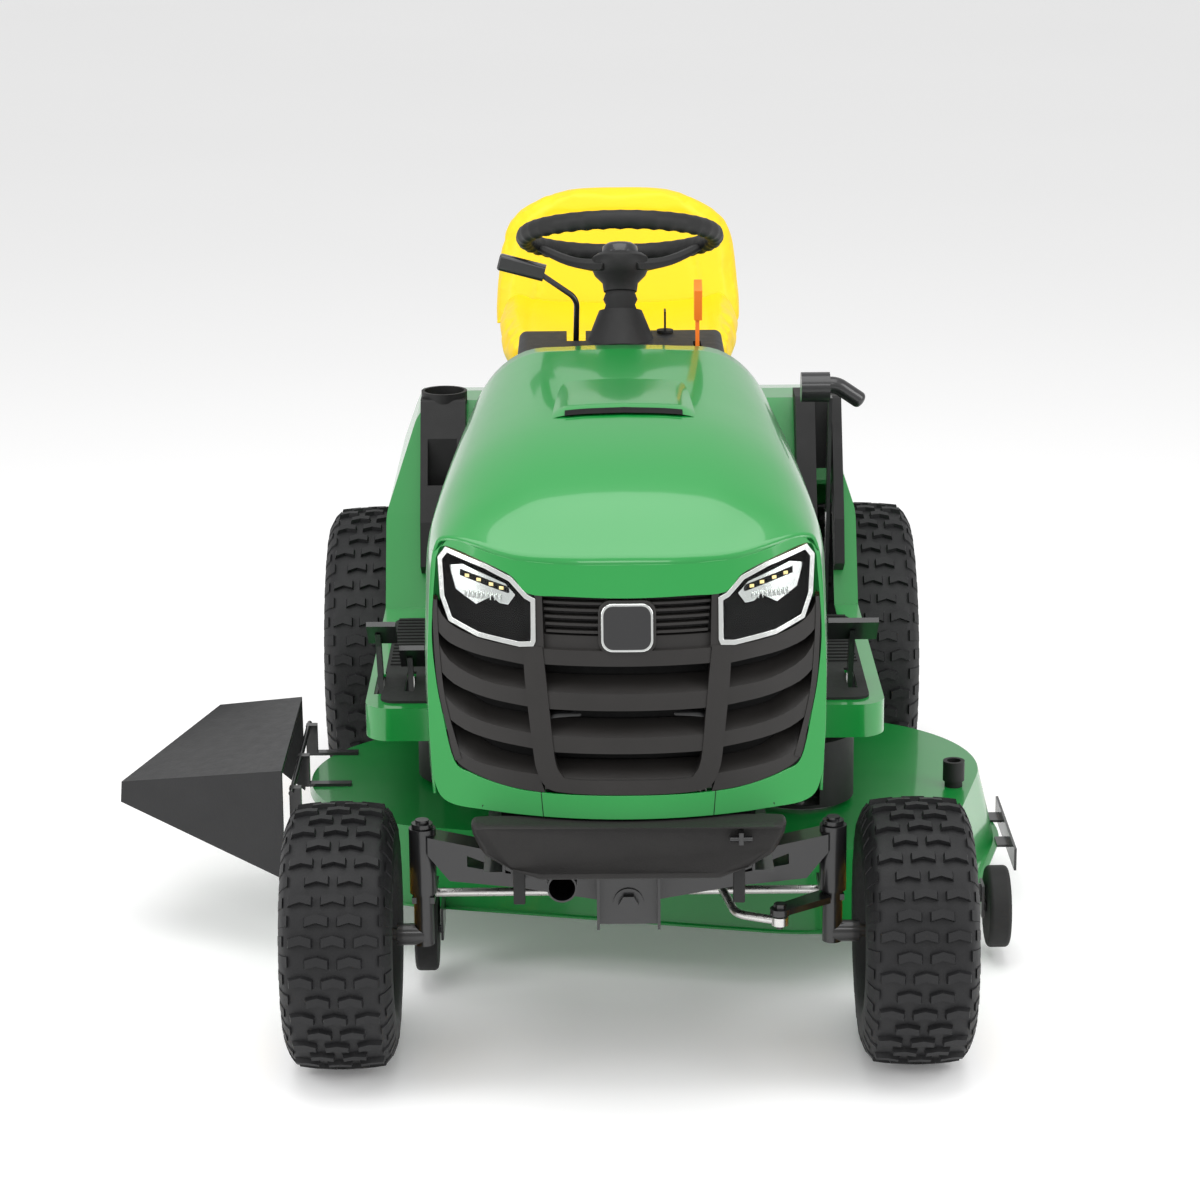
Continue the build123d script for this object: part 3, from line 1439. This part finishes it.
def make_belt_cover(index):
    """A drum-shaped cover over a blade pulley, open on the belt's side."""
    x, y = BLADE_X[index], BLADE_Y[index]
    with BuildPart() as belt_cover:
        with Locations((x, y, (DECK_TOP + 9 + 318) / 2)):
            Cylinder(84, 318 - DECK_TOP - 9)
            Cylinder(80, 318 - DECK_TOP - 2, mode=Mode.SUBTRACT)
        with Locations((x, y, 316.5)):
            Cylinder(84, 3)
            Cylinder(40, 10, mode=Mode.SUBTRACT)
        extrude(belt_sketch(Plane.XY.offset(DECK_TOP + 14), 18), amount=58, mode=Mode.SUBTRACT)
        # flat side next to the frame rail, which the deck passes as it lifts
        clear = RAIL_X + RAIL_FLANGE + 4
        block((-clear, clear), (y - 100, y + 100), (DECK_TOP + 72, 330), mode=Mode.SUBTRACT)
    return belt_cover


def make_gauge_brackets():
    """The welded brackets that hold the gauge wheels' axles and the corner guard."""
    lip = DECK_LOW + DECK_SHEET
    left_x, left_y = GAUGE_LEFT
    right_x, right_y = GAUGE_RIGHT
    inner = GAUGE_W / 2 + 4
    with BuildPart() as gauge_brackets:
        block((508, left_x - inner), (left_y - 6, left_y - 2), (lip, 120))
        block((left_x - inner - 4, left_x - inner), (left_y - 18, left_y + 22), (70, 120))
        rod((left_x - inner - 4, left_y, GAUGE_Z), (left_x + GAUGE_W / 2 + 6, left_y, GAUGE_Z), 12)
        block((right_x + inner, right_x + inner + 4), (right_y + 52, right_y + 76), (lip, 120))
        block((right_x + inner, right_x + inner + 4), (right_y - 18, right_y + 66), (70, 120))
        rod((right_x + inner + 4, right_y, GAUGE_Z), (right_x - GAUGE_W / 2 - 6, right_y, GAUGE_Z), 12)
        block((GUARD_X - 4, GUARD_X), (-680, -420), (73, 109))
        for y in (-600, -480):
            block((594, GUARD_X), (y - 20, y + 20), (lip, lip + 4))
    return gauge_brackets


def make_gauge_wheel(x, y):
    with BuildPart() as gauge_wheel:
        with Locations(Location((x, y, GAUGE_Z), (0, 90, 0))):
            Cylinder(GAUGE_D / 2, GAUGE_W)
            Cylinder(6 + RUNNING, GAUGE_W * 2, mode=Mode.SUBTRACT)
        fillet(gauge_wheel.edges().filter_by(GeomType.CIRCLE).sort_by(SortBy.RADIUS)[-2:], 7)
    return gauge_wheel


def make_wash_port():
    """The hose fitting that stands on the deck."""
    with BuildPart() as wash_port:
        rod((519, -650, DECK_TOP), (519, -650, DECK_TOP + 12), 28)
        rod((519, -650, DECK_TOP + 10), (519, -650, DECK_TOP + 42), 34)
        with Locations((519, -650, DECK_TOP + 42)):
            Cylinder(11, 60, mode=Mode.SUBTRACT)
    return wash_port


def make_deck_hangers():
    """Two plates with slots that hang the deck on the lift arms' pins."""
    with BuildPart() as deck_hangers:
        for side in (-1, 1):
            plate = sorted((side * HANGER_X, side * (HANGER_X + 4)))
            y = LIFT_Y - LIFT_ARM
            block(plate, (y - 26, y + 26), (DECK_TOP, LIFT_Z + 20))
            foot = sorted((side * HANGER_X, side * (HANGER_X + 34)))
            block(foot, (y - 26, y + 26), (DECK_TOP, DECK_TOP + 4))
            with BuildSketch(across(plate[0], y, LIFT_Z)):
                with Locations((2, 0)):
                    SlotOverall(30, 12.4)
            extrude(amount=4, mode=Mode.SUBTRACT)
    return deck_hangers


CHUTE_HINGE = (-512.0, 252.0)
CHUTE_MOUTH = Plane(origin=(-CHUTE_REACH, -720, 0), x_dir=(135, 240, 0), z_dir=(240, -135, 0))


def chute_solid(inset):
    """The flared chute volume, from the deck's side to its slanted mouth."""
    open_low = 130 * (inset > 0)
    inner = CHUTE_HINGE[0] - 10 + 16 * (inset > 0)
    with BuildPart() as solid:
        with BuildSketch(across(inner)):
            with BuildLine():
                Polyline(
                    (-850 + inset, 130 - open_low), (-835 + inset, 300 - inset), (-450 - inset, 300 - inset),
                    (-440 - inset, 140 - open_low), close=True,
                )
            make_face()
        with BuildSketch(CHUTE_MOUTH.offset(-16 * (inset > 0))):
            with BuildLine():
                Polyline(
                    (inset, 214 - open_low), (4 + inset, 246 - inset), (272 - inset, 298 - inset),
                    (277 - inset, 262 - open_low), close=True,
                )
            make_face()
        loft(ruled=True)
    return solid.part


def make_discharge_chute():
    with BuildPart() as discharge_chute:
        add(chute_solid(0))
        add(chute_solid(5), mode=Mode.SUBTRACT)
    return discharge_chute


def make_chute_hinge():
    """The knuckles on the deck, the rod and the torsion spring."""
    x, z = CHUTE_HINGE
    with BuildPart() as chute_hinge:
        rod((x, -800, z), (x, -440, z), 8)
        for y in (-780, -620, -460):
            block((x + 10, x + 80), (y - 8, y + 8), (DECK_TOP, DECK_TOP + 5))
            block((x - 4, x + 14), (y - 8, y + 8), (DECK_TOP, z + 4))
    return chute_hinge


SIDES = (("left", 1), ("right", -1))

# frame and front axle
write("frame", make_frame())
write("hitch_plate", make_hitch_plate())
write("front_bumper", make_front_bumper())
write("axle_pivot", make_axle_pivot_bracket(), make_axle_pivot_bolt())
write("front_axle", make_front_axle())
write("left_spindle", make_spindle(1))
write("right_spindle", make_spindle(-1))
write("tie_rod", make_tie_rod())
write("drag_link", make_drag_link())

# steering
write("sector_gear", make_sector_gear())
write("steering_shaft", make_steering_shaft())
write("steering_support", make_steering_support(), make_pedal_shaft())
write("steering_wheel", make_steering_wheel(), make_steering_cap())

# engine and drive
write("engine_block", make_engine_block())
write("blower_housing", make_blower_housing())
write("crankshaft", make_crankshaft(), make_engine_pulley())
write("muffler", make_muffler(), make_muffler_shield())
write("fuel_tank", make_fuel_tank(), make_fuel_cap())
write("battery", make_battery())
write("drive_belt", make_drive_belt())
write("transaxle", make_transaxle())
write("transaxle_pulley", make_transaxle_pulley())

# hood
write("hood", make_hood())
write("grille", make_grille(), make_hood_badge())
write("headlight_housings", make_headlight(1), make_headlight(-1))
write("headlight_lenses", make_headlight_lens(1), make_headlight_lens(-1))
write("hood_hinge", make_hood_hinge())

# body panels, seat and controls
write("fender_deck", make_fender_deck())
write("foot_mats", make_foot_mat(1), make_foot_mat(-1))
write("consoles", make_right_console(), make_left_console())
write("dash_panel", make_dash_panel())
write("seat_bracket", make_seat_bracket())
write("seat_pan", make_seat_pan())
write("seat", make_seat_cushion(), make_seat_backrest())
write("brake_pedal", make_pedal(345.0, 345.0, -800.0, 508.0, 76.0))
write("forward_pedal", make_pedal(-372.0, -366.0, -800.0, 508.0, 44.0))
write("reverse_pedal", make_pedal(-326.0, -322.0, -770.0, 462.0, 38.0))
write("lift_lever", make_lift_lever(), make_lift_handle())
write("pto_lever", make_pto_lever(), make_pto_handle())
write("throttle_lever", make_throttle_lever())
write("ignition_key", make_ignition_key())

# wheels
for name, side in SIDES:
    x, y, z = FRONT_HUB
    write(f"front_{name}_tyre", make_tyre(FRONT_TYRE_D, FRONT_TYRE_W, FRONT_RIM_D, side * x, y, z))
    bore = STUB_D + 2 * RUNNING
    write(f"front_{name}_rim", make_rim(FRONT_RIM_D, FRONT_TYRE_W, bore, 84, side * x, y, z, side))
    x, y, z = REAR_HUB
    write(f"rear_{name}_tyre", make_tyre(REAR_TYRE_D, REAR_TYRE_W, REAR_RIM_D, side * x, y, z))
    rim = make_rim(REAR_RIM_D, REAR_TYRE_W, AXLE_SHAFT_D, 110, side * x, y, z, side)
    write(f"rear_{name}_rim", rim, make_axle_shaft(side))

# mower deck
write("deck_shell", make_deck_shell())
write("mandrel_housings", make_mandrel_housing(0), make_mandrel_housing(1))
write("belt_covers", make_belt_cover(0), make_belt_cover(1))
for index, (name, side) in enumerate(SIDES):
    write(f"{name}_blade", make_blade(index))
write("mower_belt", make_mower_belt())
write("deck_brackets", make_deck_hangers(), make_gauge_brackets(), make_chute_hinge())
write("wash_port", make_wash_port())
write("left_gauge_wheel", make_gauge_wheel(*GAUGE_LEFT))
write("right_gauge_wheel", make_gauge_wheel(*GAUGE_RIGHT))
write("discharge_chute", make_discharge_chute())
